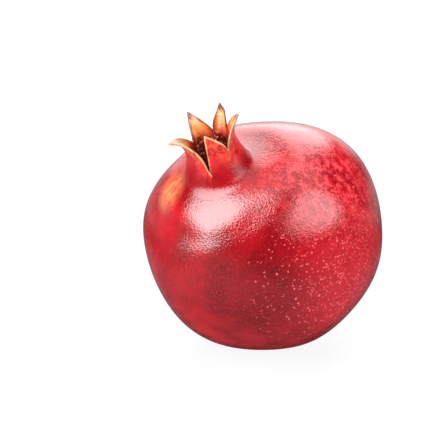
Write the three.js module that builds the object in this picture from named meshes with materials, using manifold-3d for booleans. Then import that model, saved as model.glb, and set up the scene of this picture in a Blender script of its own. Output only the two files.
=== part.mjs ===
// A ripe pomegranate as picked: the leathery fruit with its open calyx crown, the dried stamens in the
// crown's cup, and the clipped stub of the stem. Millimetres, +Z up. The origin is the middle of the
// small flat spot that the fruit rests on, and the crown leans towards -Y.
import * as THREE from "three";
import { mergeVertices } from "three/addons/utils/BufferGeometryUtils.js";
import Module from "manifold-3d";

const wasm = await Module();
wasm.setup();

const { clamp, degToRad, lerp, seededRandom, smoothstep } = THREE.MathUtils;
const FULL_TURN = 2 * Math.PI;
const UP = new THREE.Vector3(0, 0, 1);

// The body, about its own axis with its middle at the origin, before it is laid down.
const BODY_RADIUS = 45;
const BODY_HALF_HEIGHT = 42.3;
const BODY_FULLNESS = 2.15; // 2 is an ellipse, and more has squarer shoulders
const SHOULDER_RADIUS = 17; // where the body starts to sweep up into the calyx tube
const RIDGES = 6; // soft ridges over the chambers inside
const RIDGE_RISE = 0.45;
const RIDGE_BEARING = 20;
const DIMPLE_DEPTH = 1.9; // the hollow at the stem end
const DIMPLE_RADIUS = 5.5;

// Broad swellings and flats that make the fruit lopsided: bearing round the axis and height towards
// the crown in degrees, rise in millimetres, and how far each one spreads in degrees.
const SWELLS = [
  { bearing: 67, height: 4, rise: 2.4, spread: 26 },
  { bearing: 107, height: 37, rise: -0.7, spread: 26 },
  { bearing: 209, height: 31, rise: 1.9, spread: 26 },
  { bearing: 8, height: -42, rise: -0.6, spread: 30 },
  { bearing: 288, height: -38, rise: -0.9, spread: 30 },
  { bearing: 247, height: -4, rise: 0.6, spread: 30 },
];

// The calyx: a tube that stands on the body and splits into lobes. Heights are above the body's
// middle, and the notch ring is the level of the notches between the lobes.
const TUBE_RADIUS = 9.55;
const TUBE_BASE = 42.85;
const TUBE_FOOT = 3.2; // how much wider the tube is at its base
const FOOT_HEIGHT = 9.95;
const FOOT_POWER = 1.4;
const NOTCH_RING = 51.8;
const TUBE_WALL = 4.6; // wall thickness at the tube's base
const EDGE_WALL = 0.9; // wall thickness along the lobes' edges
const THINNING = 0.35; // how early the wall thins on the way to the edge, where less is earlier
const CUP_FLOOR = 39.5;
const LEAN_START = -5; // the lobes start to lean this far from the notch ring
const LOBE_FLATTENING = 0.5;
const COLUMNS_PER_SIDE = 8; // lathe columns from a notch to a lobe's tip
const LEAN_STEPS = 40;

// Each notch between two lobes: its bearing, and the height of its bottom from the notch ring. The
// last one is a deep split.
const NOTCHES = [
  { bearing: -3, height: -0.6 },
  { bearing: 89, height: 0.9 },
  { bearing: 130, height: 0.5 },
  { bearing: 188, height: -0.5 },
  { bearing: 305, height: -6.5 },
];

// The lobe that follows each notch: the bearing of its tip, its length above the notch ring, how far
// it leans out at its foot and at its tip, and the power that shapes its sides, where 1 is a
// straight-sided triangle and less is fuller.
const LOBES = [
  { tip: 45, length: 10.7, foot: -1, lean: 52, edge: 0.67 },
  { tip: 111, length: 10.4, foot: 23, lean: 19, edge: 0.6 },
  { tip: 166, length: 10, foot: 16, lean: 32, edge: 0.86 },
  { tip: 261, length: 12.8, foot: 12, lean: 83, edge: 1 },
  { tip: 310, length: 8.8, foot: 0, lean: -12, edge: 0.5 },
];

// How the neck bends away from the body's axis, and how the fruit lies on its flat spot.
const NECK_BEND = 17.7;
const NECK_TOWARDS = 94.5;
const NECK_PIVOT = 41.65;
const NECK_BEND_FROM = 34;
const NECK_BEND_TO = 45;
const FRUIT_LEAN = 36.6;
const BODY_MIDDLE = new THREE.Vector3(2.1, 3.2, 42.8);

// Rows of the mesh along each stretch of the outline.
const BODY_ROWS = 22;
const DIMPLE_ROWS = [0, 0.45, 0.7, 0.95]; // shares of the dimple's radius
const SWEEP_ROWS = 5;
const LOBE_ROWS = 8;

// The dried stamens, on a thin lining of the cup.
const FIT_GAP = 0.35;
const LINING_TOP = 45;
const LINING_WALL = 0.9;
const LINING_COLUMNS = 32;
const STAMEN_COUNT = 42;
const STAMEN_SIDES = 4;
const FILAMENT_RADIUS = 0.42;
const ANTHER_RADIUS = 0.75;
const STAMEN_REACH = 6; // how far from the cup's axis a stamen may end
const STAMEN_SEED = 11;

// The clipped stub of the stem.
const STUB_RADIUS = 2.9;
const STUB_END = -45.3;
const STUB_COLUMNS = 30;
const STUB_RIDGES = 5;
const STUB_RIDGE_RISE = 0.25;

const columns = crownColumns();
LOBES.forEach((lobe) => {
  lobe.path = leanPath(lobe);
});

// The lathe's columns: each one's bearing on the crown, its lobe and nearer notch, and how far it is
// from the notch, 0, to the tip, 1.
function crownColumns() {
  return LOBES.flatMap((lobe, k) => {
    const before = NOTCHES[k];
    const after = NOTCHES[(k + 1) % NOTCHES.length];
    const afterBearing = after.bearing > before.bearing ? after.bearing : after.bearing + 360;
    return Array.from({ length: 2 * COLUMNS_PER_SIDE }, (_, i) => {
      const rising = i < COLUMNS_PER_SIDE;
      const toTip = rising ? i / COLUMNS_PER_SIDE : 2 - i / COLUMNS_PER_SIDE;
      return {
        lobe,
        toTip,
        notch: rising ? before : after,
        bearing: degToRad(lerp(rising ? before.bearing : afterBearing, lobe.tip, toTip)),
      };
    });
  });
}

// A lobe's middle line as steps from where it starts to lean: how far out and up each one is, and
// the lean there.
function leanPath({ length, foot, lean }) {
  const step = (length - LEAN_START) / LEAN_STEPS;
  const path = [];
  let out = 0;
  let up = LEAN_START;
  for (let i = 0; i <= LEAN_STEPS; i++) {
    const along = LEAN_START + i * step;
    const curl = clamp(along / length, 0, 1) ** 1.5;
    const turn = degToRad(foot * smoothstep(along, LEAN_START, 0) + (lean - foot) * curl);
    path.push({ out, up, turn });
    out += step * Math.sin(turn);
    up += step * Math.cos(turn);
  }
  return path;
}

// Where a lobe's middle line is at a distance along it from the notch ring.
function onLeanPath({ length, path }, along) {
  if (along <= LEAN_START) return { out: 0, up: along, turn: 0 };
  const place = clamp((LEAN_STEPS * (along - LEAN_START)) / (length - LEAN_START), 0, LEAN_STEPS);
  const before = path[Math.floor(place)];
  const after = path[Math.ceil(place)];
  const share = place % 1;
  return {
    out: lerp(before.out, after.out, share),
    up: lerp(before.up, after.up, share),
    turn: lerp(before.turn, after.turn, share),
  };
}

// Outline of the plain body at an angle from the crown, as radius and height.
function bodyOutline(fromCrown) {
  const power = 2 / BODY_FULLNESS;
  const cosine = Math.cos(fromCrown);
  const radius = BODY_RADIUS * Math.abs(Math.sin(fromCrown)) ** power;
  const height = BODY_HALF_HEIGHT * Math.sign(cosine) * Math.abs(cosine) ** power;
  const dimple = cosine < 0 ? DIMPLE_DEPTH * Math.exp(-((radius / DIMPLE_RADIUS) ** 4)) : 0;
  return new THREE.Vector2(radius, height + dimple);
}

// How much wider than its plain radius the calyx tube is, at a height from the notch ring.
function footRise(along) {
  const top = TUBE_BASE - NOTCH_RING + FOOT_HEIGHT;
  return TUBE_FOOT * clamp((top - along) / FOOT_HEIGHT, 0, 1) ** FOOT_POWER;
}

// The angle from the pole at which the plain body has a radius.
function angleAtRadius(radius) {
  return Math.asin((radius / BODY_RADIUS) ** (BODY_FULLNESS / 2));
}

// The concave sweep from the body's shoulder into the foot of the calyx tube.
function shoulderSweep() {
  const shoulderAngle = angleAtRadius(SHOULDER_RADIUS);
  const start = bodyOutline(shoulderAngle);
  const slope = start.clone().sub(bodyOutline(shoulderAngle + 0.01));
  const end = new THREE.Vector2(TUBE_RADIUS + TUBE_FOOT, TUBE_BASE);
  const endSlope = new THREE.Vector2(-FOOT_POWER * (TUBE_FOOT / FOOT_HEIGHT), 1);
  const apart = end.clone().sub(start);
  const run = apart.cross(endSlope) / slope.cross(endSlope);
  const corner = start.clone().addScaledVector(slope, run);
  return new THREE.QuadraticBezierCurve(start, corner, end);
}

// Outline of the fruit's outside below the lobes, from the stem end up.
function outsideOutline() {
  const dimple = DIMPLE_ROWS.map((share) => bodyOutline(Math.PI - angleAtRadius(share * DIMPLE_RADIUS)));
  dimple[0].x = 0;
  const from = Math.PI - angleAtRadius(1.3 * DIMPLE_RADIUS);
  const to = angleAtRadius(SHOULDER_RADIUS);
  const body = Array.from({ length: BODY_ROWS }, (_, i) => bodyOutline(lerp(from, to, i / BODY_ROWS)));
  return [...dimple, ...body, ...shoulderSweep().getPoints(SWEEP_ROWS)];
}

// Outline of the cup inside the calyx tube, from a height down to the middle of the floor, drawn in
// by a gap.
function cupOutline(top, gap) {
  const radius = TUBE_RADIUS + TUBE_FOOT - TUBE_WALL - gap;
  const floor = CUP_FLOOR + gap;
  return [
    new THREE.Vector2(radius, top),
    new THREE.Vector2(radius - 0.2, floor + 2.4),
    new THREE.Vector2(radius - 1.1, floor + 0.8),
    new THREE.Vector2(radius - 3, floor + 0.1),
    new THREE.Vector2(0, floor),
  ];
}

// A point of the calyx wall in a column, at a share of the way from the tube's base to the rim,
// with the outward direction of the wall there.
function calyxWall({ lobe, notch, bearing, toTip }, share) {
  const rim = lerp(notch.height, lobe.length, toTip ** lobe.edge);
  const along = lerp(TUBE_BASE - NOTCH_RING, rim, share);
  const radius = TUBE_RADIUS + footRise(along);
  const plainOut = new THREE.Vector3(Math.cos(bearing), Math.sin(bearing), 0);
  const plain = plainOut.clone().multiplyScalar(radius).setZ(NOTCH_RING + along);

  // A lobe is a gutter that follows its middle line and opens as it rises.
  const { out, up, turn } = onLeanPath(lobe, along);
  const opening = 1 - LOBE_FLATTENING * smoothstep(along, LEAN_START, lobe.length);
  const fromTip = bearing - degToRad(lobe.tip);
  const sag = radius * (1 - Math.cos(fromTip)) * opening;
  const leaning = new THREE.Vector3(
    radius + out - sag * Math.cos(turn),
    radius * Math.sin(fromTip),
    NOTCH_RING + up + sag * Math.sin(turn),
  );
  const side = fromTip * opening;
  const leaningOut = new THREE.Vector3(
    Math.cos(side) * Math.cos(turn),
    Math.sin(side),
    -Math.cos(side) * Math.sin(turn),
  );
  [leaning, leaningOut].forEach((v) => v.applyAxisAngle(UP, degToRad(lobe.tip)));

  const freedom = smoothstep(toTip, 0, 0.6);
  return {
    point: plain.lerp(leaning, freedom),
    outward: plainOut.lerp(leaningOut, freedom).normalize(),
  };
}

// Lopsided growth: the ridges and swellings move a point of the body away from its middle.
function grow(point) {
  const girth = Math.hypot(point.x, point.y) / BODY_RADIUS;
  const ridge = Math.cos(RIDGES * (Math.atan2(point.y, point.x) - degToRad(RIDGE_BEARING)));
  const direction = point.clone().normalize();
  let rise = RIDGE_RISE * girth ** 2 * ridge;
  for (const swell of SWELLS) {
    const centre = new THREE.Vector3(Math.cos(degToRad(swell.height)), 0, Math.sin(degToRad(swell.height)));
    centre.applyAxisAngle(UP, degToRad(swell.bearing));
    rise += swell.rise * Math.exp(-((direction.angleTo(centre) / degToRad(swell.spread)) ** 2));
  }
  const nearTube = smoothstep(-Math.hypot(point.x, point.y), -SHOULDER_RADIUS, -TUBE_RADIUS - TUBE_FOOT);
  return point.addScaledVector(direction, point.z > 0 ? rise * (1 - nearTube) : rise);
}

// The neck's bend, which carries the calyx and what is in it.
function bendNeck(point) {
  const share = smoothstep(point.z, NECK_BEND_FROM, NECK_BEND_TO);
  const towards = degToRad(NECK_TOWARDS);
  const axis = new THREE.Vector3(-Math.sin(towards), Math.cos(towards), 0);
  const pivot = new THREE.Vector3(0, 0, NECK_PIVOT);
  return point.sub(pivot).applyAxisAngle(axis, degToRad(NECK_BEND) * share).add(pivot);
}

// Moves every vertex of a geometry.
function reshape(geometry, move) {
  const place = geometry.getAttribute("position");
  const point = new THREE.Vector3();
  for (let i = 0; i < place.count; i++) {
    const moved = move(point.fromBufferAttribute(place, i), i);
    place.setXYZ(i, moved.x, moved.y, moved.z);
  }
  return geometry;
}

// A closed geometry as a manifold solid, and a solid as a geometry.
function toSolid(geometry) {
  const bare = geometry.clone().deleteAttribute("normal").deleteAttribute("uv");
  const merged = mergeVertices(bare, 1e-4);
  return new wasm.Manifold(
    new wasm.Mesh({
      numProp: 3,
      vertProperties: merged.getAttribute("position").array,
      triVerts: new Uint32Array(merged.index.array),
    }),
  );
}

function toGeometry(solid) {
  const { vertProperties, triVerts } = solid.getMesh();
  const geometry = new THREE.BufferGeometry();
  geometry.setAttribute("position", new THREE.BufferAttribute(vertProperties, 3));
  geometry.setIndex(new THREE.BufferAttribute(triVerts, 1));
  geometry.computeVertexNormals();
  return geometry;
}

// A lathe about +Z from an outline that runs up the outside.
function latheUp(outline, count) {
  return new THREE.LatheGeometry(outline, count).rotateX(Math.PI / 2);
}

// The fruit's skin from the stem end up the outside, over the lobes' rim and down into the cup.
function fruitGeometry() {
  const outside = outsideOutline();
  const rising = Array.from({ length: LOBE_ROWS }, (_, i) => (i + 1) / LOBE_ROWS);
  const wall = [
    ...rising.map((share) => ({ share, inside: 0 })),
    ...rising.toReversed().map((share) => ({ share, inside: 1 })),
  ];
  const rows = [...outside, ...wall, ...cupOutline(TUBE_BASE, 0)];
  const blank = rows.map((row) => (row.isVector2 ? row : new THREE.Vector2(TUBE_RADIUS, NOTCH_RING)));

  return reshape(latheUp(blank, columns.length), (point, i) => {
    const index = Math.floor(i / rows.length) % columns.length;
    const column = columns[index];
    const row = rows[i % rows.length];
    if (!row.isVector2) {
      const { point: onWall, outward } = calyxWall(column, row.share);
      const thickness = lerp(TUBE_WALL, EDGE_WALL, row.share ** THINNING);
      return bendNeck(onWall.addScaledVector(outward, -thickness * row.inside));
    }
    // Evenly spaced columns on the body turn into the crown's own columns near the tube.
    const onBody = i % rows.length < outside.length;
    const even = degToRad(NOTCHES[0].bearing) + (FULL_TURN * index) / columns.length;
    const toCrown = onBody ? smoothstep(row.y, 0, BODY_HALF_HEIGHT - 2) : 1;
    const bearing = lerp(even, column.bearing, toCrown);
    point.set(row.x * Math.cos(bearing), row.x * Math.sin(bearing), row.y);
    return bendNeck(onBody ? grow(point) : point);
  });
}

// A stamen: a slender filament with an anther at its end, along a curve.
function stamenGeometry(curve) {
  const outline = [
    [0, 0],
    [FILAMENT_RADIUS, 0.01],
    [FILAMENT_RADIUS, 0.35],
    [FILAMENT_RADIUS * 0.9, 0.65],
    [FILAMENT_RADIUS * 0.8, 0.84],
    [ANTHER_RADIUS, 0.9],
    [0, 1],
  ].map(([x, y]) => new THREE.Vector2(x, y));
  const root = curve.getPointAt(0);
  const sideways = new THREE.Vector3(-root.y, root.x, 0).normalize();
  return reshape(latheUp(outline, STAMEN_SIDES), ({ x, y, z: share }) => {
    const along = curve.getTangentAt(share);
    const across = sideways.clone().cross(along).normalize();
    const third = along.clone().cross(across);
    return curve.getPointAt(share).addScaledVector(across, x).addScaledVector(third, y);
  });
}

// The curve of one stamen: from its root in the lining's wall up and in, with a curl to one side.
function stamenCurve(index) {
  const tier = index % 3;
  const bearing = (FULL_TURN * (index + 0.7 * seededRandom())) / STAMEN_COUNT;
  const wallRadius = TUBE_RADIUS + TUBE_FOOT - TUBE_WALL - FIT_GAP - LINING_WALL / 2;
  const at = (radius, turn, height) =>
    new THREE.Vector3(radius * Math.cos(bearing + turn), radius * Math.sin(bearing + turn), height);
  const curl = lerp(-0.6, 0.6, seededRandom());
  const reach = lerp(3, STAMEN_REACH, seededRandom());
  const rise = NOTCH_RING + lerp(-3, 2, seededRandom());
  return new THREE.CubicBezierCurve3(
    at(wallRadius, 0, LINING_TOP - 0.8 - 0.9 * tier),
    at(wallRadius - 2.4, 0, LINING_TOP + 1.2 - 0.9 * tier),
    at(STAMEN_REACH, curl / 3, rise - 1.8),
    at(reach, curl, rise),
  );
}

// The solid without the closed hollows that crossing pieces leave in it.
function filled(solid) {
  return solid.decompose().reduce((most, body) => (body.volume() > most.volume() ? body : most));
}

// The dried stamens as one piece with the lining of the cup that they grow from.
function stamensGeometry() {
  const outline = [
    ...cupOutline(LINING_TOP, FIT_GAP).toReversed(),
    ...cupOutline(LINING_TOP, FIT_GAP + LINING_WALL),
  ];
  seededRandom(STAMEN_SEED);
  const grown = Array.from({ length: STAMEN_COUNT }, (_, i) => toSolid(stamenGeometry(stamenCurve(i))));
  const fused = grown.reduce((sum, one) => sum.add(one), toSolid(latheUp(outline, LINING_COLUMNS)));
  return reshape(toGeometry(filled(fused)), bendNeck);
}

// The clipped stub of the stem in the dimple under the fruit, with soft ridges along it.
function stubGeometry() {
  const root = -BODY_HALF_HEIGHT + DIMPLE_DEPTH - FIT_GAP;
  const outline = [
    [0, STUB_END + 0.3],
    [STUB_RADIUS * 0.55, STUB_END],
    [STUB_RADIUS * 0.92, STUB_END],
    [STUB_RADIUS, STUB_END + 0.4],
    [STUB_RADIUS * 0.95, (STUB_END + root) / 2],
    [STUB_RADIUS * 1.1, root - 0.6],
    [STUB_RADIUS * 1.05, root],
    [0, root],
  ].map(([x, y]) => new THREE.Vector2(x, y));
  return reshape(latheUp(outline, STUB_COLUMNS), (point) => {
    const ridge = STUB_RIDGE_RISE * Math.cos(STUB_RIDGES * Math.atan2(point.y, point.x));
    const grown = 1 + ridge / STUB_RADIUS;
    return point.set(point.x * grown, point.y * grown, point.z);
  });
}

// The fruit with its underside cut to the small flat spot that it rests on, where the surface is in
// the fruit's own frame.
function restingFruit(toFruit) {
  const below = new THREE.BoxGeometry(120, 120, 40).translate(0, 0, -20).applyMatrix4(toFruit);
  return toGeometry(toSolid(fruitGeometry()).subtract(toSolid(below)));
}

const rind = new THREE.MeshStandardMaterial({ color: 0xb3141c, roughness: 0.3, metalness: 0 });
const driedStamens = new THREE.MeshStandardMaterial({ color: 0x5a2a1c, roughness: 0.8, metalness: 0 });
const stemWood = new THREE.MeshStandardMaterial({ color: 0x7a5c3e, roughness: 0.85, metalness: 0 });

const pomegranate = new THREE.Group();
const lying = new THREE.Group();
lying.position.copy(BODY_MIDDLE);
lying.rotation.x = degToRad(FRUIT_LEAN);
lying.updateMatrix();
pomegranate.add(lying);

const fruit = new THREE.Mesh(restingFruit(lying.matrix.clone().invert()), rind);
fruit.name = "fruit";
const stamens = new THREE.Mesh(stamensGeometry(), driedStamens);
stamens.name = "stamens";
const stub = new THREE.Mesh(stubGeometry(), stemWood);
stub.name = "stem_stub";
lying.add(fruit, stamens, stub);

export default pomegranate;
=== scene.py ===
"""A ripe pomegranate on its side: glossy rind, open calyx crown, dried stamens, clipped stem.

Lengths are metres in the part's own frame: +Z up, the origin in the middle of the flat spot that
the fruit rests on, and the crown leaning towards -Y.
"""

import math
import random
from collections import namedtuple

import bmesh
import bpy
from bpy.props import FloatProperty, FloatVectorProperty, IntProperty, PointerProperty
from mathutils import Matrix, Vector, noise


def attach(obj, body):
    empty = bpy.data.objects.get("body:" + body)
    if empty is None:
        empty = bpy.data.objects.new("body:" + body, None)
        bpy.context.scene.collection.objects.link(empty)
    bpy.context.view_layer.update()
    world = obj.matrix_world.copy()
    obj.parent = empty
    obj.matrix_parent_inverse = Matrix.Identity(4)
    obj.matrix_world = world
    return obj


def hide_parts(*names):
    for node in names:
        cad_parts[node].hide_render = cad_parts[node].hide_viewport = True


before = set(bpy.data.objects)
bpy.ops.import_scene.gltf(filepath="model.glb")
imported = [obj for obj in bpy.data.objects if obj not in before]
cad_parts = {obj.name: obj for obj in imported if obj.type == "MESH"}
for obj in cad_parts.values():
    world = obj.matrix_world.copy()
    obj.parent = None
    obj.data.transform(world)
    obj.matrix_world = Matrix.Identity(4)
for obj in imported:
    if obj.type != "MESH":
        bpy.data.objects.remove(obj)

bl_info = {
    "name": "Pomegranate",
    "version": (1, 0, 0),
    "blender": (4, 5, 0),
    "location": "View3D > Sidebar > Pomegranate",
    "description": "Grows a whole pomegranate with its crown, stamens and stem, and its studio",
    "category": "Add Mesh",
}

MM = 0.001
UP = Vector((0, 0, 1))
FULL_TURN = 2 * math.pi

Swell = namedtuple("Swell", "bearing height rise spread")
Notch = namedtuple("Notch", "bearing height")
Lobe = namedtuple("Lobe", "tip length foot lean edge dryness cream")
# A column of the skin belongs to half a lobe. A row lies at a share of the way up the calyx wall
# and at a depth into it, and its arc is how far along the skin it is from the stem.
Column = namedtuple("Column", "lobe path notch bearing to_tip")
Row = namedtuple("Row", "zone radius height share depth arc")
# A mask rises smoothly from least to most as its value goes from none to full.
Mask = namedtuple("Mask", "value none full least most", defaults=(0.0, 1.0))

# Broad swellings and flats of the body: bearing round its axis and height towards the crown in
# degrees, rise, and how far each one spreads in degrees.
SWELLS = (
    Swell(67, 4, 2.4 * MM, 26),
    Swell(107, 37, -0.7 * MM, 26),
    Swell(209, 31, 1.9 * MM, 26),
    Swell(8, -42, -0.6 * MM, 30),
    Swell(288, -38, -0.9 * MM, 30),
    Swell(247, -4, 0.6 * MM, 30),
    Swell(297, 49, 1.2 * MM, 12),
    Swell(318, 51, 0.5 * MM, 9),
)
RIDGES = 6
RIDGE_BEARING = math.radians(20)
GROWTH_RISE = 0.08 * MM
GROWTH_WIDTH = 15 * MM
BODY_FULLNESS = 2.15
SHOULDER_RADIUS = 17 * MM
DIMPLE_DEPTH = 1.9 * MM
DIMPLE_RADIUS = 5.5 * MM

# The calyx. Heights are above the body's middle, and a lobe's are above the notch ring.
TUBE_RADIUS = 9.55 * MM
TUBE_BASE = 42.85 * MM
TUBE_FOOT = 3.2 * MM
FOOT_HEIGHT = 9.95 * MM
FOOT_POWER = 1.4
NOTCH_RING = 51.8 * MM
TUBE_WALL = 4.6 * MM
THINNING = 0.35
RIM_ROUNDING = 0.35
CRINKLE_RISE = 0.3 * MM
CRINKLE_WIDTH = 3.2 * MM
FINE_CRINKLE_WIDTH = 1.3 * MM
CUP_FLOOR = 39.5 * MM
LEAN_START = -5 * MM
LEAN_STEPS = 60
LOBE_FLATTENING = 0.5
LOBE_FREE_FROM = 0.6
# The notches between the lobes: bearing and height.
NOTCHES = (
    Notch(-3, -0.6 * MM),
    Notch(89, 0.9 * MM),
    Notch(130, 0.5 * MM),
    Notch(188, -0.5 * MM),
    Notch(305, -6.5 * MM),
)
# The lobes: the tip's bearing, length, lean at the foot and at the tip, how the edge rises to the
# tip, where 1 is straight, and how dried and how pale it is. Angles are in degrees.
LOBES = (
    Lobe(45, 10.7 * MM, -1, 52, 0.67, 0.4, 0.45),
    Lobe(111, 10.4 * MM, 23, 19, 0.6, 0.55, 0),
    Lobe(166, 10 * MM, 16, 32, 0.86, 0.7, 0.1),
    Lobe(261, 12.8 * MM, 12, 83, 1, 1, 0.9),
    Lobe(310, 8.8 * MM, 0, -12, 0.5, 0.05, 1),
)

# How the neck bends, and where the body's middle is when the fruit lies on its flat spot.
NECK_TOWARDS = math.radians(94.5)
NECK_PIVOT = 41.65 * MM
NECK_BEND_FROM = 34 * MM
NECK_BEND_TO = 45 * MM
BODY_MIDDLE = Vector((2.1, 3.2, 42.8)) * MM

# How fine the fruit's mesh is, before one subdivision.
COLUMNS_PER_SIDE = 15
BODY_ROWS = 52
SWEEP_ROWS = 9
RIM_SEARCH = 25
WALL_SHARES = tuple(i / 18 for i in range(1, 18)) + (0.975, 0.992)

# The stamens, and their lining of the cup.
FIT_GAP = 0.35 * MM
LINING_TOP = 45 * MM
LINING_WALL = 0.9 * MM
LINING_STEPS = 48
STAMEN_SEED = 11
STAMEN_TIERS = 5
FILAMENT_STEPS = 7
FILAMENT_SIDES = 5
KNOB_SHAPE = (1, 0.8, 1.35, 1)

# The stem's clipped stub.
STUB_END = -45.3 * MM
STUB_STEPS = 60
STUB_RIDGES = 5
STUB_RIDGE_RISE = 0.25 * MM
BARK_RISE = 0.12 * MM
BARK_WIDTH = 0.8 * MM

# Streaks of the skin run from the stem to the crown. They are as wide as their pattern at this
# distance from the axis, and this many times as long.
STREAK_RADIUS = 20 * MM
STREAK_STRETCH = 4.5

# Creases fan out from the crown, and are strongest from the second of these distances inwards.
CREASE_END = 46 * MM
CREASE_FULL = 14 * MM

# Where the colours of the skin change, on the fruit as it lies. The dark and dim places centre
# painted shade, and the speckled place centres the specks and painted light.
DARK_PLACE = Vector((31, -32, 37)) * MM
DIM_PLACE = Vector((1, -43, 38)) * MM
BLUSH_PLACE = Vector((-12, -32, 66)) * MM
CROWN_PLACE = Vector((2, -22, 77)) * MM
MOTTLE_PLACE = Vector((31, 6, 76)) * MM
SPECKS_AND_LIGHT_PLACE = Vector((46, 0, 40)) * MM

# The camera: where it looks from, and the picture that it frames.
VIEW_AZIMUTH = 44.5
VIEW_ELEVATION = 20
VIEW_DISTANCE = 850 * MM
FRAME_PIXELS = 430
BODY_PIXEL = (264.9, 235.4)
PIXEL = 0.385 * MM
SENSOR_WIDTH = 36

# The lights stand this far off. The paper takes shadows near the fruit, and only glows further out.
LIGHT_DISTANCE = 1.1
FLOOR_RADIUS = 3
SHADOWED = 0.11
UNSHADOWED = 0.16


def colour(hex_code):
    """An sRGB hex colour as linear red, green, blue and alpha."""
    channels = (int(hex_code[i : i + 2], 16) / 255 for i in (0, 2, 4))
    linear = [c / 12.92 if c <= 0.04045 else ((c + 0.055) / 1.055) ** 2.4 for c in channels]
    return (*linear, 1.0)


def length(name, description, metres):
    """A setting for a length."""
    return FloatProperty(
        name=name,
        description=description,
        default=metres,
        precision=5,
        unit="LENGTH",
    )


def tint(name, description, hex_code):
    """A setting for a colour."""
    return FloatVectorProperty(
        name=name,
        description=description,
        default=colour(hex_code),
        size=4,
        subtype="COLOR",
    )


def watts(name, description, power):
    """A setting for a light's power."""
    return FloatProperty(name=name, description=description, default=power, min=0, unit="POWER")


def direction_to(azimuth, elevation):
    """The direction from the fruit at an elevation and an azimuth, rightwards from the camera's."""
    azimuth, elevation = math.radians(VIEW_AZIMUTH + azimuth), math.radians(elevation)
    flat = Vector((math.sin(azimuth), -math.cos(azimuth), 0))
    return flat * math.cos(elevation) + UP * math.sin(elevation)


def lerp(a, b, share):
    return a + (b - a) * share


def clamp(value, low=0.0, high=1.0):
    return min(max(value, low), high)


def smoothstep(value, low, high):
    share = clamp((value - low) / (high - low))
    return share * share * (3 - 2 * share)


class FruitSettings(bpy.types.PropertyGroup):
    """Sizes and colours of the fruit's skin and crown."""

    body_radius: length("Body radius", "Half the body's width, before its swellings", 45 * MM)
    body_half_height: length(
        "Body half height", "Half the body's height on its own axis, without the crown", 42.3 * MM
    )
    ridge_rise: length(
        "Ridge rise", "How far the soft ridges over the chambers stand out", 0.45 * MM
    )
    edge_wall: length("Lobe edge", "Thickness of the lobes along their edges", 0.9 * MM)
    neck_bend: FloatProperty(
        name="Neck bend",
        description="How far the neck bends away from the body's axis",
        default=math.radians(17.7),
        unit="ROTATION",
    )
    lean: FloatProperty(
        name="Lean",
        description="How far the body's axis leans from upright",
        default=math.radians(36.6),
        unit="ROTATION",
    )
    deep_red: tint("Deep red", "Ground colour of the rind", "600208")
    scarlet: tint("Scarlet", "Brighter clouds of the rind", "80050e")
    # Besides grain and creases, this dark red paints shade across the middle band that faces the
    # camera and on the lower left.
    crease_and_shade: tint("Crease", "Dark red of the rind's grain and creases", "3a0205")
    coral: tint("Coral", "Mottling of the side that faced the sun", "b43a40")
    # This rosier red is painted light on the right side, and also tints the fine grain.
    rose_and_painted_light: tint("Rose", "Rosier red of the sunny side", "8c0916")
    blush: tint("Blush", "Yellow-orange of the unripe patch", "b87048")
    speck: tint("Specks", "Colour of the corky specks", "c05a5c")
    lobe_outer: tint(
        "Flecks of the calyx", "Orange-red flecks on the outside of the calyx", "b84828"
    )
    neck: tint("Neck", "Lighter red of the neck and the outside of the lobes", "96201f")
    lobe_foot: tint("Foot of the lobes", "Red at the foot of the lobes' inner faces", "9a2418")
    browned: tint("Browned edges", "Brown of the dried edges and tips", "4a2414")
    withered: tint("Withered tip", "Grey-tan of the tip that has withered", "7e6044")
    cut_edge: tint("Pale edges", "Cream of the edges that split while fresh", "a07c5a")
    lobe_inner: tint("Inside of the lobes", "Yellow-orange of the lobes' inner faces", "c27a3c")


class StamenSettings(bpy.types.PropertyGroup):
    """Sizes and colours of the dried stamens."""

    count: IntProperty(
        name="Stamens",
        description="How many stamens stand in the cup",
        default=130,
        min=1,
    )
    filament_radius: length("Filament radius", "Radius of a stamen's thread at its root", 0.2 * MM)
    anther_radius: length("Anther radius", "Radius of the knob at a stamen's end", 0.38 * MM)
    filament: tint("Filament", "Colour of the dried threads", "5e1812")
    lining: tint("Lining", "Dark red-brown of the cup's lining and the deepest threads", "2c0a08")
    anther: tint("Anther", "Colour of the dried knobs", "9c5a48")


class StemSettings(bpy.types.PropertyGroup):
    """Size and colours of the clipped stem."""

    radius: length("Stem radius", "Radius of the stem's stub", 2.9 * MM)
    bark: tint("Bark", "Colour of the stem's bark", "6a4a30")
    dark_bark: tint("Dark bark", "Colour of the bark's hollows", "3e2a1c")
    cut: tint("Cut wood", "Colour of the clipped end", "c2a373")


class StudioSettings(bpy.types.PropertyGroup):
    """The studio: lights, floor and surroundings."""

    left_box: watts("Left softbox", "Power of the softbox on the left of the camera", 68)
    right_box: watts("Right softbox", "Power of the softbox on the right of the camera", 11)
    rear_box: watts("Rear softbox", "Power of the softbox behind the fruit", 10.35)
    rear_card: watts("Rear card", "Power of the low card behind the fruit", 1.44)
    ceiling: watts("Ceiling", "Power of the soft light overhead", 4.5)
    right_fill: watts("Right fill", "Power of the low fill light on the right", 11)
    top_fill: watts("Top fill", "Power of the fill light behind and above", 25.3)
    surroundings: FloatProperty(
        name="Surroundings",
        description="Brightness of the dim room round the fruit",
        default=0.018,
        min=0,
    )
    glow: FloatProperty(
        name="Floor glow",
        description="Light that comes up through the floor, as from a light table",
        default=0.9,
        min=0,
    )
    bounce: FloatProperty(
        name="Bounce",
        description="How much of the floor's light reaches the fruit's underside",
        default=3.5,
        min=0,
    )
    mirrored: FloatProperty(
        name="Mirrored glow",
        description="How bright the floor behind the fruit shows in its wax",
        default=0.25,
        min=0,
    )
    floor: tint("Floor", "Colour of the floor", "2c2d31")


# ---- shape of the fruit ----


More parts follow.
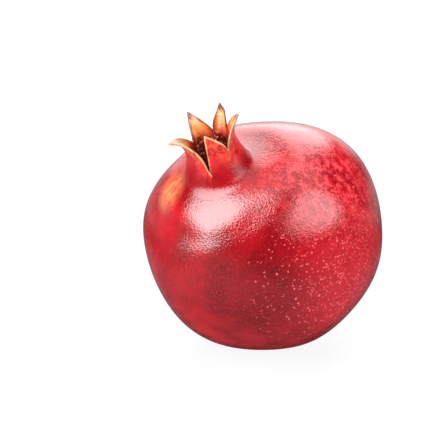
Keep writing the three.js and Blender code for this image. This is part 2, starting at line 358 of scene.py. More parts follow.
def lean_path(lobe):
    """A lobe's middle line in steps: how far out and up each one is, and the lean there."""
    step = (lobe.length - LEAN_START) / LEAN_STEPS
    out, up = 0.0, LEAN_START
    path = []
    for i in range(LEAN_STEPS + 1):
        along = LEAN_START + i * step
        curl = clamp(along / lobe.length) ** 1.5
        foot = lobe.foot * smoothstep(along, LEAN_START, 0)
        turn = math.radians(foot + (lobe.lean - lobe.foot) * curl)
        path.append((out, up, turn))
        out += step * math.sin(turn)
        up += step * math.cos(turn)
    return path


def on_lean_path(column, along):
    """How far out and up the lobe's middle line is at a distance along it, and the lean there."""
    if along <= LEAN_START:
        return 0.0, along, 0.0
    reach = column.lobe.length - LEAN_START
    place = clamp(LEAN_STEPS * (along - LEAN_START) / reach, 0, LEAN_STEPS)
    before, after = column.path[math.floor(place)], column.path[math.ceil(place)]
    return tuple(lerp(a, b, place % 1) for a, b in zip(before, after))


def crown_columns():
    """The columns of the fruit's mesh, each from a notch, 0, towards a lobe's tip, 1."""
    columns = []
    for k, lobe in enumerate(LOBES):
        before, after = NOTCHES[k], NOTCHES[(k + 1) % len(NOTCHES)]
        after_bearing = after.bearing if after.bearing > before.bearing else after.bearing + 360
        path = lean_path(lobe)
        for i in range(2 * COLUMNS_PER_SIDE):
            rising = i < COLUMNS_PER_SIDE
            to_tip = i / COLUMNS_PER_SIDE if rising else 2 - i / COLUMNS_PER_SIDE
            bearing = lerp(before.bearing if rising else after_bearing, lobe.tip, to_tip)
            notch = before if rising else after
            columns.append(Column(lobe, path, notch, math.radians(bearing), to_tip))
    return columns


def body_outline(size, from_crown):
    """Radius and height of the plain body at an angle from the crown."""
    power = 2 / BODY_FULLNESS
    cosine = math.cos(from_crown)
    radius = size.body_radius * abs(math.sin(from_crown)) ** power
    height = size.body_half_height * math.copysign(abs(cosine) ** power, cosine)
    if cosine < 0:
        height += DIMPLE_DEPTH * math.exp(-((radius / DIMPLE_RADIUS) ** 4))
    return radius, height


def angle_at_radius(size, radius):
    """The angle from the pole at which the plain body has a radius."""
    return math.asin((radius / size.body_radius) ** (BODY_FULLNESS / 2))


def foot_rise(along):
    """How much wider than its plain radius the calyx tube is, at a height from the notch ring."""
    top = TUBE_BASE - NOTCH_RING + FOOT_HEIGHT
    return TUBE_FOOT * clamp((top - along) / FOOT_HEIGHT) ** FOOT_POWER


def shoulder_sweep(size):
    """Points of the concave sweep from the body's shoulder into the foot of the calyx tube."""
    angle = angle_at_radius(size, SHOULDER_RADIUS)
    start = Vector(body_outline(size, angle))
    slope = start - Vector(body_outline(size, angle + 0.01))
    end = Vector((TUBE_RADIUS + TUBE_FOOT, TUBE_BASE))
    end_slope = Vector((-FOOT_POWER * TUBE_FOOT / FOOT_HEIGHT, 1))
    apart = end - start
    corner = start + slope * (apart.cross(end_slope) / slope.cross(end_slope))
    for i in range(SWEEP_ROWS + 1):
        share = i / SWEEP_ROWS
        yield start.lerp(corner, share).lerp(corner.lerp(end, share), share)


def cup_outline(top, gap):
    """Radius and height of the cup's wall from a height down to the middle of its floor."""
    radius = TUBE_RADIUS + TUBE_FOOT - TUBE_WALL - gap
    floor = CUP_FLOOR + gap
    return (
        (radius, top),
        (radius - 0.2 * MM, floor + 2.4 * MM),
        (radius - 1.1 * MM, floor + 0.8 * MM),
        (radius - 3 * MM, floor + 0.1 * MM),
        (0, floor),
    )


def fruit_rows(size):
    """The rows of the fruit's mesh: up the outside from the stem, over the rim, into the cup."""
    start = math.pi - angle_at_radius(size, 1.2 * DIMPLE_RADIUS)
    stop = angle_at_radius(size, SHOULDER_RADIUS)
    angles = [math.pi - angle_at_radius(size, DIMPLE_RADIUS * i / 6) for i in range(7)]
    angles += [lerp(start, stop, i / BODY_ROWS) for i in range(BODY_ROWS)]
    outside = [body_outline(size, angle) for angle in angles]
    outside[0] = (0, outside[0][1])
    outside += [tuple(point) for point in shoulder_sweep(size)]
    arcs = [0]
    for before, after in zip(outside, outside[1:]):
        arcs.append(arcs[-1] + math.dist(before, after))
    top = arcs[-1]
    rows = [Row("body", *point, 0, 0, arc) for point, arc in zip(outside, arcs)]
    rows += [Row("calyx", 0, 0, share, 0, top) for share in WALL_SHARES]
    rows += [Row("calyx", 0, 0, 1, depth, top) for depth in (0.16, 0.5, 0.84)]
    rows += [Row("calyx", 0, 0, share, 1, top) for share in reversed(WALL_SHARES)]
    rows += [Row("cup", *point, 0, 1, top) for point in cup_outline(TUBE_BASE, 0)]
    return rows


def calyx_wall(column, share):
    """A point of the calyx wall's outside at a share of the way from its base to its rim, and the
    wall's outward direction there."""
    lobe = column.lobe
    rim = lerp(column.notch.height, lobe.length, column.to_tip**lobe.edge)
    along = lerp(TUBE_BASE - NOTCH_RING, rim, share)
    radius = TUBE_RADIUS + foot_rise(along)
    plain_out = Vector((math.cos(column.bearing), math.sin(column.bearing), 0))
    plain = plain_out * radius + UP * (NOTCH_RING + along)

    # A lobe is a gutter that follows its middle line and opens as it rises.
    out, up, turn = on_lean_path(column, along)
    opening = 1 - LOBE_FLATTENING * smoothstep(along, LEAN_START, lobe.length)
    from_tip = column.bearing - math.radians(lobe.tip)
    sag = radius * (1 - math.cos(from_tip)) * opening
    leaning = Vector(
        (
            radius + out - sag * math.cos(turn),
            radius * math.sin(from_tip),
            NOTCH_RING + up + sag * math.sin(turn),
        )
    )
    side = from_tip * opening
    leaning_out = Vector(
        (math.cos(side) * math.cos(turn), math.sin(side), -math.cos(side) * math.sin(turn))
    )
    to_bearing = Matrix.Rotation(math.radians(lobe.tip), 3, "Z")
    freedom = smoothstep(column.to_tip, 0, LOBE_FREE_FROM)
    point = plain.lerp(to_bearing @ leaning, freedom)
    outward = plain_out.lerp(to_bearing @ leaning_out, freedom).normalized()
    return point, outward


def crinkle(point, share):
    """Small crumples of the drying lobes, stronger towards their edges."""
    coarse = noise.noise(point / CRINKLE_WIDTH)
    fine = noise.noise(point / FINE_CRINKLE_WIDTH)
    return CRINKLE_RISE * smoothstep(share, 0.4, 1) * (coarse + 0.4 * fine)


def grow(size, point):
    """Lopsided growth: the ridges and swellings move a point of the body away from its middle."""
    around = math.hypot(point.x, point.y)
    ridge = math.cos(RIDGES * (math.atan2(point.y, point.x) - RIDGE_BEARING))
    rise = size.ridge_rise * (around / size.body_radius) ** 2 * ridge
    direction = point.normalized()
    for swell in SWELLS:
        height, bearing = math.radians(swell.height), math.radians(swell.bearing)
        flat = Vector((math.cos(bearing), math.sin(bearing), 0))
        centre = flat * math.cos(height) + UP * math.sin(height)
        apart = direction.angle(centre) / math.radians(swell.spread)
        rise += swell.rise * math.exp(-(apart**2))
    rise += GROWTH_RISE * noise.noise(point / GROWTH_WIDTH)
    if point.z > 0:
        rise *= smoothstep(around, TUBE_RADIUS + TUBE_FOOT, SHOULDER_RADIUS)
    return point + direction * rise


def bend_neck(size, point):
    """The neck's bend, which carries the calyx and what is in it."""
    share = smoothstep(point.z, NECK_BEND_FROM, NECK_BEND_TO)
    axis = Vector((-math.sin(NECK_TOWARDS), math.cos(NECK_TOWARDS), 0))
    pivot = Vector((0, 0, NECK_PIVOT))
    return Matrix.Rotation(size.neck_bend * share, 3, axis) @ (point - pivot) + pivot


def lay_down(size, point):
    """The fruit's own frame to the part's frame, where the fruit lies on its flat spot."""
    return Matrix.Rotation(size.lean, 3, "X") @ point + BODY_MIDDLE


# ---- mesh helpers ----


def spin_outline(bm, outline, steps, merge=1e-6):
    """Spins an outline of radii and heights about Z into a closed skin in an empty bmesh."""
    chain = [bm.verts.new((radius, 0, height)) for radius, height in outline]
    edges = [bm.edges.new(pair) for pair in zip(chain, chain[1:])]
    bmesh.ops.spin(
        bm,
        geom=chain + edges,
        cent=(0, 0, 0),
        axis=(0, 0, 1),
        angle=FULL_TURN,
        steps=steps,
        use_merge=True,
    )
    bmesh.ops.remove_doubles(bm, verts=bm.verts, dist=merge)
    bmesh.ops.recalc_face_normals(bm, faces=bm.faces)


def finish_piece(name, bm, node, material, levels):
    """A mesh piece from a bmesh, smooth, riding on the fruit and standing for its CAD node."""
    mesh = bpy.data.meshes.new(name)
    bm.to_mesh(mesh)
    bm.free()
    piece = bpy.data.objects.new(name, mesh)
    bpy.context.scene.collection.objects.link(piece)
    mesh.shade_smooth()
    mesh.materials.append(material)
    if levels:
        subdivision = piece.modifiers.new("Subdivision", "SUBSURF")
        subdivision.levels = subdivision.render_levels = levels
    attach(piece, "root")
    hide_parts(node)


def add_node(tree, kind, inputs=None, output=None, **settings):
    """Adds a node with its settings, and fills its inputs with values or links. Inputs go by name,
    or by number among those in use. Returns the output of a name, or else the first in use."""
    node = tree.nodes.new(kind)
    for name, value in settings.items():
        setattr(node, name, value)
    sockets = [socket for socket in node.inputs if socket.enabled]
    for key, value in (inputs or {}).items():
        socket = sockets[key] if isinstance(key, int) else next(s for s in sockets if s.name == key)
        if isinstance(value, bpy.types.NodeSocket):
            tree.links.new(value, socket)
        else:
            socket.default_value = value
    return next((s for s in node.outputs if s.enabled and output in (None, s.name)), None)


def paint(tree, below, above, *masks):
    """One colour over another, as far as all of the masks let it through."""
    factor = 1.0
    for mask in masks:
        share = add_node(
            tree,
            "ShaderNodeMapRange",
            dict(enumerate(mask)),
            interpolation_type="SMOOTHSTEP",
        )
        factor = add_node(tree, "ShaderNodeMath", {0: factor, 1: share}, operation="MULTIPLY")
    return add_node(
        tree,
        "ShaderNodeMix",
        {"Factor": factor, "A": below, "B": above},
        data_type="RGBA",
    )


def new_material(name):
    """An empty material and its node tree."""
    material = bpy.data.materials.new(name)
    material.use_nodes = True
    material.node_tree.nodes.clear()
    return material, material.node_tree


# ---- materials ----


def rind_material(settings):
    """Pomegranate rind, a leathery skin that grew smooth and was rubbed to a waxy shine. To the eye
    it is deep red with a hard wet-looking gloss, a soft yellow patch and fine corky specks."""
    material, tree = new_material("waxed_pomegranate_rind")
    place = add_node(tree, "ShaderNodeTexCoord", output="Object")
    growth = add_node(tree, "ShaderNodeAttribute", output="Vector", attribute_name="growth")
    calyx, inside, middle, dry, cream, rim = (
        add_node(tree, "ShaderNodeAttribute", output="Fac", attribute_name=name)
        for name in ("calyx", "inside", "middle", "dry", "cream", "rim")
    )
    # Pores are about 0.2 mm wide, too fine to show, so the grain is drawn at 0.7 mm.
    blotches, patches, grain, streaks = (
        add_node(
            tree,
            "ShaderNodeTexNoise",
            {"Vector": vector, "Scale": 1 / size, "Detail": detail, "Roughness": 0.6},
        )
        for vector, size, detail in (
            (place, 13 * MM, 3),
            (place, 3.2 * MM, 3),
            (place, 0.7 * MM, 2),
            (growth, 0.85 * MM, 3),
        )
    )
    from_crown, from_specks_and_painted_light, from_mottle, from_dark, from_dim, from_blush = (
        add_node(tree, "ShaderNodeVectorMath", {0: place, 1: centre}, operation="DISTANCE")
        for centre in (CROWN_PLACE, SPECKS_AND_LIGHT_PLACE, MOTTLE_PLACE, DARK_PLACE, DIM_PLACE, BLUSH_PLACE)
    )
    body = Mask(calyx, 0.05, 0)

    # Ground: deep red clouded with scarlet in blotches of about 13 mm, and rosier on the right
    # side, which is painted light.
    ground = paint(tree, settings.deep_red, settings.scarlet, Mask(blotches, 0.35, 0.68))
    painted_light_side = Mask(from_specks_and_painted_light, 36 * MM, 8 * MM)
    ground = paint(tree, ground, settings.rose_and_painted_light, painted_light_side, Mask(patches, 0.3, 0.6, 0.45))
    # Painted shade: darker across the middle band that faces the camera, and on the lower left.
    ground = paint(tree, ground, settings.crease_and_shade, Mask(from_dark, 36 * MM, 8 * MM, 0, 0.68))
    ground = paint(tree, ground, settings.crease_and_shade, Mask(from_dim, 26 * MM, 4 * MM, 0, 0.4))

    # The coral mottling of the side that faced the sun.
    network = add_node(
        tree,
        "ShaderNodeMath",
        {0: patches, 1: 1.2, 2: grain},
        operation="MULTIPLY_ADD",
    )
    mottled = Mask(from_mottle, 36 * MM, 6 * MM, 0, 0.7)
    ground = paint(tree, ground, settings.coral, mottled, Mask(network, 1.0, 1.3), body)

    # Fine grain of the skin, dark and light, and short creases that fan out from the crown, darker
    # in
    # their grooves: partly the skin's own tone and partly painted shade.
    ground = paint(tree, ground, settings.crease_and_shade, Mask(grain, 0.54, 0.34, 0, 0.16))
    ground = paint(tree, ground, settings.rose_and_painted_light, Mask(grain, 0.48, 0.72, 0, 0.34), body)
    near_crown = Mask(from_crown, CREASE_END, CREASE_FULL)
    ground = paint(tree, ground, settings.crease_and_shade, near_crown, Mask(streaks, 0.48, 0.32, 0, 0.5))

    # The yellow patch beside the neck.
    blush = Mask(from_blush, 11 * MM, 1 * MM, 0, 0.75)
    ground = paint(tree, ground, settings.blush, blush, Mask(streaks, 0.34, 0.58, 0.3))

    # Lenticels: corky specks up to 0.8 mm across, ragged and uneven, which crowd on the sunny side.
    ragged = add_node(
        tree,
        "ShaderNodeTexNoise",
        {"Vector": place, "Scale": 1 / (0.6 * MM), "Detail": 1},
        output="Color",
    )
    ragged = add_node(
        tree,
        "ShaderNodeVectorMath",
        {0: ragged, 1: (0.9 * MM, 0.9 * MM, 0.9 * MM), 2: place},
        operation="MULTIPLY_ADD",
    )
    cell = add_node(
        tree,
        "ShaderNodeTexVoronoi",
        {"Vector": ragged, "Scale": 1 / (1.1 * MM), "Randomness": 1},
        output="Color",
    )
    pick = add_node(tree, "ShaderNodeSeparateColor", {"Color": cell}, output="Red").node.outputs
    crowd = add_node(
        tree,
        "ShaderNodeMapRange",
        {
            "Value": from_specks_and_painted_light,
            "From Min": 40 * MM,
            "From Max": 8 * MM,
            "To Min": 0.02,
            "To Max": 0.9,
        },
    )
    chosen = add_node(tree, "ShaderNodeMath", {0: crowd, 1: pick["Red"]}, operation="SUBTRACT")
    reach = add_node(
        tree,
        "ShaderNodeMath",
        {0: pick["Green"], 1: 0.22, 2: 0.16},
        operation="MULTIPLY_ADD",
    )
    spread = add_node(
        tree,
        "ShaderNodeMath",
        {0: cell.node.outputs["Distance"], 1: reach},
        operation="DIVIDE",
    )
    lenticels = Mask(spread, 1.4, 0.4, 0, 0.6)
    ground = paint(tree, ground, settings.speck, lenticels, Mask(chosen, -0.05, 0.15), body)

    # The calyx: orange flecks towards the lobes, inner faces that go from red at the foot to yellow
    # along the middle, and edges and tips that have dried brown or been left as a pale cut line.
    outer = Mask(calyx, 0.1, 0.5, 0, 0.8)
    ground = paint(tree, ground, settings.neck, outer, Mask(patches, 0.25, 0.55))
    flecks = Mask(network, 1.05, 1.3, 0, 0.75)
    ground = paint(tree, ground, settings.lobe_outer, flecks, Mask(calyx, 0.3, 0.8))
    inner = paint(
        tree,
        settings.lobe_foot,
        settings.lobe_inner,
        Mask(calyx, 0.4, 0.8),
        Mask(middle, 0.05, 0.7),
        Mask(patches, 0.25, 0.5, 0.6),
    )
    ground = paint(tree, ground, inner, Mask(inside, 0.6, 1))
    to_tip = add_node(tree, "ShaderNodeMath", {0: calyx, 1: middle}, operation="MULTIPLY")
    exposed = add_node(
        tree,
        "ShaderNodeMath",
        {0: inside, 1: 0.3, 2: to_tip},
        operation="MULTIPLY_ADD",
    )
    ground = paint(
        tree,
        ground,
        settings.withered,
        Mask(exposed, 0.5, 0.75),
        Mask(dry, 0.85, 1),
        Mask(patches, 0.25, 0.5, 0.4),
    )
    # The dried margin is up to 1.2 mm wide, and the pale cut line about 0.5 mm.
    uneven = add_node(
        tree,
        "ShaderNodeMath",
        {0: patches, 1: -1.8 * MM, 2: rim},
        operation="MULTIPLY_ADD",
    )
    margin = Mask(uneven, 0, -0.6 * MM, 0, 0.9)
    ground = paint(tree, ground, settings.browned, margin, Mask(dry, 0, 0.5), Mask(calyx, 0.3, 0.6))
    tips, grainy = Mask(to_tip, 0.72, 0.9), Mask(grain, 0.2, 0.6, 0.6)
    ground = paint(tree, ground, settings.browned, tips, Mask(dry, 0.2, 0.5), grainy)
    line, worn = Mask(rim, 0.6 * MM, 0.3 * MM), Mask(patches, 0.3, 0.5, 0.35, 0.9)
    ground = paint(tree, ground, settings.cut_edge, line, Mask(cream, 0, 1), worn)

    # The relief, 0.1 mm high: grain everywhere, and creases round the crown.
    fan = add_node(
        tree,
        "ShaderNodeMapRange",
        {
            "Value": from_crown,
            "From Min": CREASE_END,
            "From Max": CREASE_FULL,
            "To Min": 0.3,
            "To Max": 0.9,
        },
    )
    relief = grain
    for height, strength in ((patches, 0.15), (streaks, fan)):
        relief = add_node(
            tree,
            "ShaderNodeMath",
            {0: height, 1: strength, 2: relief},
            operation="MULTIPLY_ADD",
        )
    bump = add_node(tree, "ShaderNodeBump", {"Height": relief, "Distance": 0.1 * MM, "Strength": 1})
    # The calyx is drier than the body, and only the body is waxed to a full shine. Wax has an IOR
    # of about 1.45, and its coat is matched to the fruit's strong reflections at 1.8.
    roughness, coat = (
        add_node(
            tree,
            "ShaderNodeMapRange",
            {"Value": value, "From Min": low, "From Max": high, "To Min": start, "To Max": end},
        )
        for value, low, high, start, end in (
            (calyx, 0, 0.2, 0.36, 0.5),
            (from_crown, 12 * MM, 18 * MM, 0.45, 1),
        )
    )
    shader = add_node(
        tree,
        "ShaderNodeBsdfPrincipled",
        {
            "Base Color": ground,
            "Roughness": roughness,
            "IOR": 1.46,
            "Specular IOR Level": 0.06,
            "Coat Weight": coat,
            "Coat Roughness": 0.075,
            "Coat IOR": 1.8,
            "Normal": bump,
            "Coat Normal": bump,
        },
    )
    add_node(tree, "ShaderNodeOutputMaterial", {"Surface": shader})
    return material


def stamen_material(settings):
    """Dried stamens: threads that have withered brown-red, and their knobs dusted with old pollen.
    To the eye they are a dark matte tangle with small tan tips."""
    material, tree = new_material("withered_stamens")
    place = add_node(tree, "ShaderNodeTexCoord", output="Object")
    knob = add_node(tree, "ShaderNodeAttribute", output="Fac", attribute_name="knob")
    cloud, grain = (
        add_node(tree, "ShaderNodeTexNoise", {"Vector": place, "Scale": 1 / size, "Detail": 3})
        for size in (2 * MM, 0.25 * MM)
    )
    base = paint(tree, settings.lining, settings.filament, Mask(cloud, 0.35, 0.65))
    base = paint(tree, base, settings.anther, Mask(knob, 0, 1), Mask(cloud, 0.4, 0.6))
    bump = add_node(
        tree,
        "ShaderNodeBump",
        {"Height": grain, "Distance": 0.05 * MM, "Strength": 0.6},
    )
    shader = add_node(
        tree,
        "ShaderNodeBsdfPrincipled",
        {"Base Color": base, "Roughness": 0.8, "Specular IOR Level": 0.1, "Normal": bump},
    )
    add_node(tree, "ShaderNodeOutputMaterial", {"Surface": shader})
    return material


def stem_material(settings):
    """Clipped pomegranate twig: thin dry bark round pale wood, cut across with shears. To the eye
    it is dull grey-brown with a lighter end."""
    material, tree = new_material("clipped_twig")
    place = add_node(tree, "ShaderNodeTexCoord", output="Object")
    cut = add_node(tree, "ShaderNodeAttribute", output="Fac", attribute_name="cut")
    cloud = add_node(
        tree,
        "ShaderNodeTexNoise",
        {"Vector": place, "Scale": 1 / (0.9 * MM), "Detail": 4},
    )
    base = paint(tree, settings.dark_bark, settings.bark, Mask(cloud, 0.3, 0.7))
    base = paint(tree, base, settings.cut, Mask(cut, 0, 1), Mask(cloud, 0.2, 0.6, 0.7))
    bump = add_node(
        tree,
        "ShaderNodeBump",
        {"Height": cloud, "Distance": 0.15 * MM, "Strength": 0.7},
    )
    shader = add_node(
        tree,
        "ShaderNodeBsdfPrincipled",
        {"Base Color": base, "Roughness": 0.82, "Normal": bump},
    )
    add_node(tree, "ShaderNodeOutputMaterial", {"Surface": shader})
    return material


# ---- operators ----


class POMEGRANATE_OT_fruit(bpy.types.Operator):
    """Grow the fruit: body, neck and crown as one skin"""

    bl_idname = "pomegranate.fruit"
    bl_label = "Grow Fruit"

    def execute(self, context):
        size = context.scene.pomegranate_fruit
        columns, rows = crown_columns(), fruit_rows(size)
        # The skin is spun with each row as high as its number, so that a vertex's height and turn
        # tell its row and column, and then each vertex is moved to its place.
        outline = [(1, i) for i in range(len(rows))]
        outline[0], outline[-1] = (0, 0), (0, len(rows) - 1)
        bm = bmesh.new()
        calyx, inside, middle, dry, cream, rim = (
            bm.verts.layers.float.new(name)
            for name in ("calyx", "inside", "middle", "dry", "cream", "rim")
        )
        growth = bm.verts.layers.float_vector.new("growth")
        spin_outline(bm, outline, len(columns), 1e-3)
        rims = [calyx_wall(column, 1)[0] for column in columns]
        for vert in bm.verts:
            turn = math.atan2(vert.co.y, vert.co.x) / FULL_TURN
            index = round(turn * len(columns)) % len(columns)
            column, row = columns[index], rows[round(vert.co.z)]
            point, bearing = self.place(size, column, row, index / len(columns))
            vert[calyx], vert[inside] = row.share, row.depth
            vert[middle] = column.to_tip
            vert[dry], vert[cream] = column.lobe.dryness, column.lobe.cream
            # How far the rim is, or a metre where it doesn't matter.
            vert[rim] = 1
            if row.zone == "calyx":
                wall = calyx_wall(column, row.share)[0]
                reach = range(index - RIM_SEARCH, index + RIM_SEARCH + 1)
                vert[rim] = min((wall - rims[i % len(rims)]).length for i in reach)
            around = STREAK_RADIUS * Vector((math.cos(bearing), math.sin(bearing)))
            arc = row.arc + (point.z - TUBE_BASE if row.zone == "calyx" else 0)
            vert[growth] = (*around, arc / STREAK_STRETCH)
            vert.co = lay_down(size, bend_neck(size, point))
            vert.co.z = max(vert.co.z, 0)
        finish_piece("rind", bm, "fruit", rind_material(size), 1)
        return {"FINISHED"}

    def place(self, size, column, row, turn):
        """Where a vertex of the fruit goes in the fruit's own frame, and its bearing."""
        if row.zone == "calyx":
            point, outward = calyx_wall(column, row.share)
            thickness = lerp(TUBE_WALL, size.edge_wall, row.share**THINNING)
            point -= outward * thickness * row.depth
            point += outward * crinkle(point, row.share)
            if row.share == 1:
                point.z += RIM_ROUNDING * thickness * (1 - abs(2 * row.depth - 1))
            return point, column.bearing
        bearing = column.bearing
        if row.zone == "body":
            # The columns are evenly spaced round the body's lower half, and gather to the lobes.
            even = math.radians(NOTCHES[0].bearing) + FULL_TURN * turn
            gathered = smoothstep(row.height, 0, size.body_half_height - 2 * MM)
            bearing = lerp(even, bearing, gathered)
        point = Vector((row.radius * math.cos(bearing), row.radius * math.sin(bearing), row.height))
        return (grow(size, point) if row.zone == "body" else point), bearing


class POMEGRANATE_OT_stamens(bpy.types.Operator):
    """Fill the crown's cup with dried stamens"""

    bl_idname = "pomegranate.stamens"
    bl_label = "Add Stamens"

    def execute(self, context):
        size = context.scene.pomegranate_stamens
        fruit = context.scene.pomegranate_fruit
        bm = bmesh.new()
        knob = bm.verts.layers.float.new("knob")
        lining = list(reversed(cup_outline(LINING_TOP, FIT_GAP)))
        lining += cup_outline(LINING_TOP, FIT_GAP + LINING_WALL)
        spin_outline(bm, lining, LINING_STEPS)
        rng = random.Random(STAMEN_SEED)
        for index in range(size.count):
            self.stamen(bm, size, rng, index, knob)
        for vert in bm.verts:
            vert.co = lay_down(fruit, bend_neck(fruit, vert.co))
        material = stamen_material(size)
        finish_piece("withered_stamens", bm, "stamens", material, 0)
        return {"FINISHED"}

    def stamen(self, bm, size, rng, index, knob):
        """One thread along a curve from the cup's wall, with its knob."""
        tier = index % STAMEN_TIERS
        bearing = FULL_TURN * (index + 0.7 * rng.random()) / size.count
        wall = TUBE_RADIUS + TUBE_FOOT - TUBE_WALL - FIT_GAP - LINING_WALL / 2

        def at(radius, turn, height):
            towards = bearing + turn
            return Vector((radius * math.cos(towards), radius * math.sin(towards), height))

        curl = rng.uniform(-0.8, 0.8)
        reach = rng.uniform(1.5, 6.2) * MM
        rise = NOTCH_RING + rng.uniform(-4.5, 2.6) * MM
        bend = [
            at(wall, 0, LINING_TOP - (0.8 + 0.6 * tier) * MM),
            at(wall - 2.4 * MM, 0, LINING_TOP + (1.2 - 0.6 * tier) * MM),
            at(6.4 * MM, curl / 3, rise - rng.uniform(1, 2.5) * MM),
            at(reach, curl, rise),
        ]
        path = []
        for i in range(FILAMENT_STEPS + 1):
            share = i / FILAMENT_STEPS
            path.append(
                bend[0] * (1 - share) ** 3
                + bend[1] * 3 * share * (1 - share) ** 2
                + bend[2] * 3 * share**2 * (1 - share)
                + bend[3] * share**3
            )
        radius = size.filament_radius * rng.uniform(0.8, 1.15)
        aim = (path[1] - path[0]).to_track_quat("Z", "Y").to_matrix().to_4x4()
        ring = bmesh.ops.create_circle(
            bm,
            cap_ends=True,
            radius=radius,
            segments=FILAMENT_SIDES,
            matrix=Matrix.Translation(path[0]) @ aim,
        )["verts"]
        end = [face for face in ring[0].link_faces if set(face.verts) == set(ring)]
        made = set(ring)
        for i, (here, there) in enumerate(zip(path, path[1:])):
            extruded = bmesh.ops.extrude_face_region(bm, geom=end)
            if i:
                bmesh.ops.delete(bm, geom=end, context="FACES_ONLY")
            end = [item for item in extruded["geom"] if isinstance(item, bmesh.types.BMFace)]
            verts = [item for item in extruded["geom"] if isinstance(item, bmesh.types.BMVert)]
            made.update(verts)
            bmesh.ops.translate(bm, vec=there - here, verts=verts)
            if i < len(path) - 2:
                turn = (there - here).rotation_difference(path[i + 2] - there).to_matrix()
                bmesh.ops.rotate(bm, cent=there, matrix=turn, verts=verts)
        faces = {face for vert in made for face in vert.link_faces}
        bmesh.ops.recalc_face_normals(bm, faces=list(faces))
        along = (path[-1] - path[-2]).to_track_quat("Z", "Y").to_matrix().to_4x4()
        knobs = bmesh.ops.create_icosphere(
            bm,
            subdivisions=1,
            radius=size.anther_radius * rng.uniform(0.85, 1.15),
            matrix=Matrix.Translation(path[-1]) @ along @ Matrix.Diagonal(KNOB_SHAPE),
        )["verts"]
        for vert in knobs:
            vert[knob] = 1


class POMEGRANATE_OT_stem(bpy.types.Operator):
    """Add the clipped stub of the stem in the hollow at the far end"""

    bl_idname = "pomegranate.stem"
    bl_label = "Add Stem"

    def execute(self, context):
        size = context.scene.pomegranate_stem
        fruit = context.scene.pomegranate_fruit
        radius = size.radius
        root = -fruit.body_half_height + DIMPLE_DEPTH - FIT_GAP
        outline = [
            (0, STUB_END + 0.25 * MM),
            (radius * 0.3, STUB_END + 0.2 * MM),
            (radius * 0.6, STUB_END),
            (radius * 0.86, STUB_END),
            (radius * 0.97, STUB_END + 0.25 * MM),
            (radius, STUB_END + 0.6 * MM),
            (radius * 0.96, lerp(STUB_END, root, 0.35)),
            (radius * 0.95, lerp(STUB_END, root, 0.55)),
            (radius * 1.02, lerp(STUB_END, root, 0.75)),
            (radius * 1.1, root - 0.5 * MM),
            (radius * 1.05, root),
            (0, root),
        ]
        bm = bmesh.new()
        cut = bm.verts.layers.float.new("cut")
        spin_outline(bm, outline, STUB_STEPS)
        for vert in bm.verts:
            around = math.hypot(vert.co.x, vert.co.y)
            vert[cut] = float(vert.co.z < STUB_END + 0.3 * MM and around < 0.9 * radius)
            if vert.co.z < root - 0.3 * MM:
                bearing = math.atan2(vert.co.y, vert.co.x)
                rise = STUB_RIDGE_RISE * math.cos(STUB_RIDGES * bearing)
                rise += BARK_RISE * noise.noise(vert.co / BARK_WIDTH)
                vert.co.xy *= 1 + rise / radius
            vert.co = lay_down(fruit, vert.co)
        finish_piece("clipped_stem", bm, "stem_stub", stem_material(size), 1)
        return {"FINISHED"}


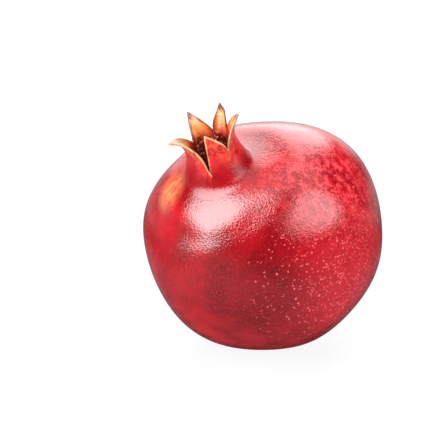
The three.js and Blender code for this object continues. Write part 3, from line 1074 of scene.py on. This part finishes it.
class POMEGRANATE_OT_studio(bpy.types.Operator):
    """Set up the pale floor, the softboxes, the surroundings and the camera"""

    bl_idname = "pomegranate.studio"
    bl_label = "Set Up Studio"

    def execute(self, context):
        settings = context.scene.pomegranate_studio
        self.camera(context)
        self.floor(settings)
        self.world(context, settings)
        # The wax mirrors a share of each light. The rest comes from a twin that it doesn't mirror,
        # and the fills are so diffuse that it mirrors nothing of them.
        for name, aim, roll, size, power, share in (
            ("left_softbox", (-53, 34.5), -37, (0.98, 1.94), settings.left_box, 0.5),
            ("right_softbox", (57, 34), -20, (1.1, 0.75), settings.right_box, 0.52),
            ("rear_softbox", (180, 38), 0, (1.15, 0.95), settings.rear_box, 0.8),
            ("rear_card", (180, 8), 0, (1.15, 0.5), settings.rear_card, 0.85),
            ("ceiling", (95, 75), 0, (1.1, 1.1), settings.ceiling, 0.6),
            ("right_fill", (88, 2), 0, (1.0, 1.0), settings.right_fill, 0),
            ("top_fill", (150, 65), 0, (1.0, 1.0), settings.top_fill, 0),
        ):
            if share:
                self.softbox(name, aim, roll, size, power * share)
            twin = self.softbox(name + "_diffuser", aim, roll, size, power * (1 - share))
            twin.visible_glossy = False
        context.scene.view_settings.view_transform = "Standard"
        return {"FINISHED"}

    def camera(self, context):
        """The camera, aimed so that the body's middle shows at its own pixel."""
        back = direction_to(0, VIEW_ELEVATION)
        right = direction_to(90, 0)
        up = back.cross(right)
        place = BODY_MIDDLE + back * VIEW_DISTANCE
        aim = BODY_MIDDLE + right * (FRAME_PIXELS / 2 - BODY_PIXEL[0]) * PIXEL
        aim += up * (BODY_PIXEL[1] - FRAME_PIXELS / 2) * PIXEL
        data = bpy.data.cameras.new("camera")
        data.sensor_width = SENSOR_WIDTH
        data.lens = SENSOR_WIDTH * VIEW_DISTANCE / (FRAME_PIXELS * PIXEL)
        camera = bpy.data.objects.new("camera", data)
        turn = (aim - place).to_track_quat("-Z", "Y").to_matrix().to_4x4()
        camera.matrix_world = Matrix.Translation(place) @ turn
        context.scene.collection.objects.link(camera)
        context.scene.camera = camera

    def floor(self, settings):
        """The pale floor: a sheet of paper on a light table, white but for the fruit's shadow."""
        bm = bmesh.new()
        bmesh.ops.create_circle(bm, cap_ends=True, radius=FLOOR_RADIUS, segments=96)
        mesh = bpy.data.meshes.new("floor")
        bm.to_mesh(mesh)
        bm.free()
        floor = bpy.data.objects.new("floor", mesh)
        bpy.context.scene.collection.objects.link(floor)
        material, tree = new_material("white_paper_sweep")
        place = add_node(tree, "ShaderNodeTexCoord", output="Object")
        distance = add_node(tree, "ShaderNodeVectorMath", {0: place}, operation="LENGTH")
        base = paint(tree, (0, 0, 0, 1), settings.floor, Mask(distance, UNSHADOWED, SHADOWED))
        glow = add_node(
            tree,
            "ShaderNodeMapRange",
            {
                "Value": distance,
                "From Min": SHADOWED,
                "From Max": UNSHADOWED,
                "To Min": settings.glow,
                "To Max": 1.05,
            },
            interpolation_type="SMOOTHSTEP",
        )
        # The wax mirrors the glow only behind the fruit.
        behind = add_node(
            tree,
            "ShaderNodeVectorMath",
            {0: place, 1: direction_to(180, 0)},
            operation="DOT_PRODUCT",
        )
        mirrored = add_node(
            tree,
            "ShaderNodeMapRange",
            {"Value": behind, "From Min": 0.1, "From Max": 0.3, "To Max": settings.mirrored},
            interpolation_type="SMOOTHSTEP",
        )
        bounced = add_node(
            tree,
            "ShaderNodeMath",
            {0: glow, 1: settings.bounce},
            operation="MULTIPLY",
        )
        for ray, strength in (("Is Glossy Ray", mirrored), ("Is Diffuse Ray", bounced)):
            seen = add_node(tree, "ShaderNodeLightPath", output=ray)
            glow = add_node(tree, "ShaderNodeMix", {"Factor": seen, "A": glow, "B": strength})
        shader = add_node(
            tree,
            "ShaderNodeBsdfPrincipled",
            {
                "Base Color": base,
                "Roughness": 0.8,
                "Emission Color": (1, 1, 1, 1),
                "Emission Strength": glow,
            },
        )
        add_node(tree, "ShaderNodeOutputMaterial", {"Surface": shader})
        mesh.materials.append(material)

    def world(self, context, settings):
        """The room: white to the camera, and dim to the fruit."""
        world = bpy.data.worlds.new("pale_room")
        world.use_nodes = True
        tree = world.node_tree
        tree.nodes.clear()
        seen = add_node(tree, "ShaderNodeLightPath", output="Is Camera Ray")
        strength = add_node(
            tree,
            "ShaderNodeMapRange",
            {"Value": seen, "To Min": settings.surroundings, "To Max": 1.0},
        )
        background = add_node(
            tree,
            "ShaderNodeBackground",
            {"Color": (1, 1, 1, 1), "Strength": strength},
        )
        add_node(tree, "ShaderNodeOutputWorld", {"Surface": background})
        context.scene.world = world

    def softbox(self, name, aim, roll, size, power):
        """An oval light that faces the fruit from an azimuth and elevation, turned by its roll."""
        data = bpy.data.lights.new(name, "AREA")
        data.shape = "ELLIPSE"
        data.size, data.size_y = size
        data.energy = power
        light = bpy.data.objects.new(name, data)
        direction = direction_to(*aim)
        turn = direction.to_track_quat("Z", "Y").to_matrix().to_4x4()
        place = Matrix.Translation(BODY_MIDDLE + direction * LIGHT_DISTANCE)
        light.matrix_world = place @ turn @ Matrix.Rotation(math.radians(roll), 4, "Z")
        bpy.context.scene.collection.objects.link(light)
        return light


class POMEGRANATE_PT_panel(bpy.types.Panel):
    """The fruit's pieces, studio and settings"""

    bl_idname = "POMEGRANATE_PT_panel"
    bl_label = "Pomegranate"
    bl_space_type = "VIEW_3D"
    bl_region_type = "UI"
    bl_category = "Pomegranate"

    def draw(self, context):
        for name, settings, operator in PIECES:
            box = self.layout.box()
            for setting in settings.__annotations__:
                box.prop(getattr(context.scene, name), setting)
            box.operator(operator.bl_idname)


PIECES = (
    ("pomegranate_fruit", FruitSettings, POMEGRANATE_OT_fruit),
    ("pomegranate_stamens", StamenSettings, POMEGRANATE_OT_stamens),
    ("pomegranate_stem", StemSettings, POMEGRANATE_OT_stem),
    ("pomegranate_studio", StudioSettings, POMEGRANATE_OT_studio),
)


def register():
    for name, settings, operator in PIECES:
        bpy.utils.register_class(settings)
        setattr(bpy.types.Scene, name, PointerProperty(type=settings))
        bpy.utils.register_class(operator)
    bpy.utils.register_class(POMEGRANATE_PT_panel)


def unregister():
    bpy.utils.unregister_class(POMEGRANATE_PT_panel)
    for name, settings, operator in reversed(PIECES):
        bpy.utils.unregister_class(operator)
        delattr(bpy.types.Scene, name)
        bpy.utils.unregister_class(settings)


def main():
    register()
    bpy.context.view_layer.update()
    bpy.ops.pomegranate.fruit()
    bpy.ops.pomegranate.stamens()
    bpy.ops.pomegranate.stem()
    bpy.ops.pomegranate.studio()


if __name__ == "__main__":
    main()
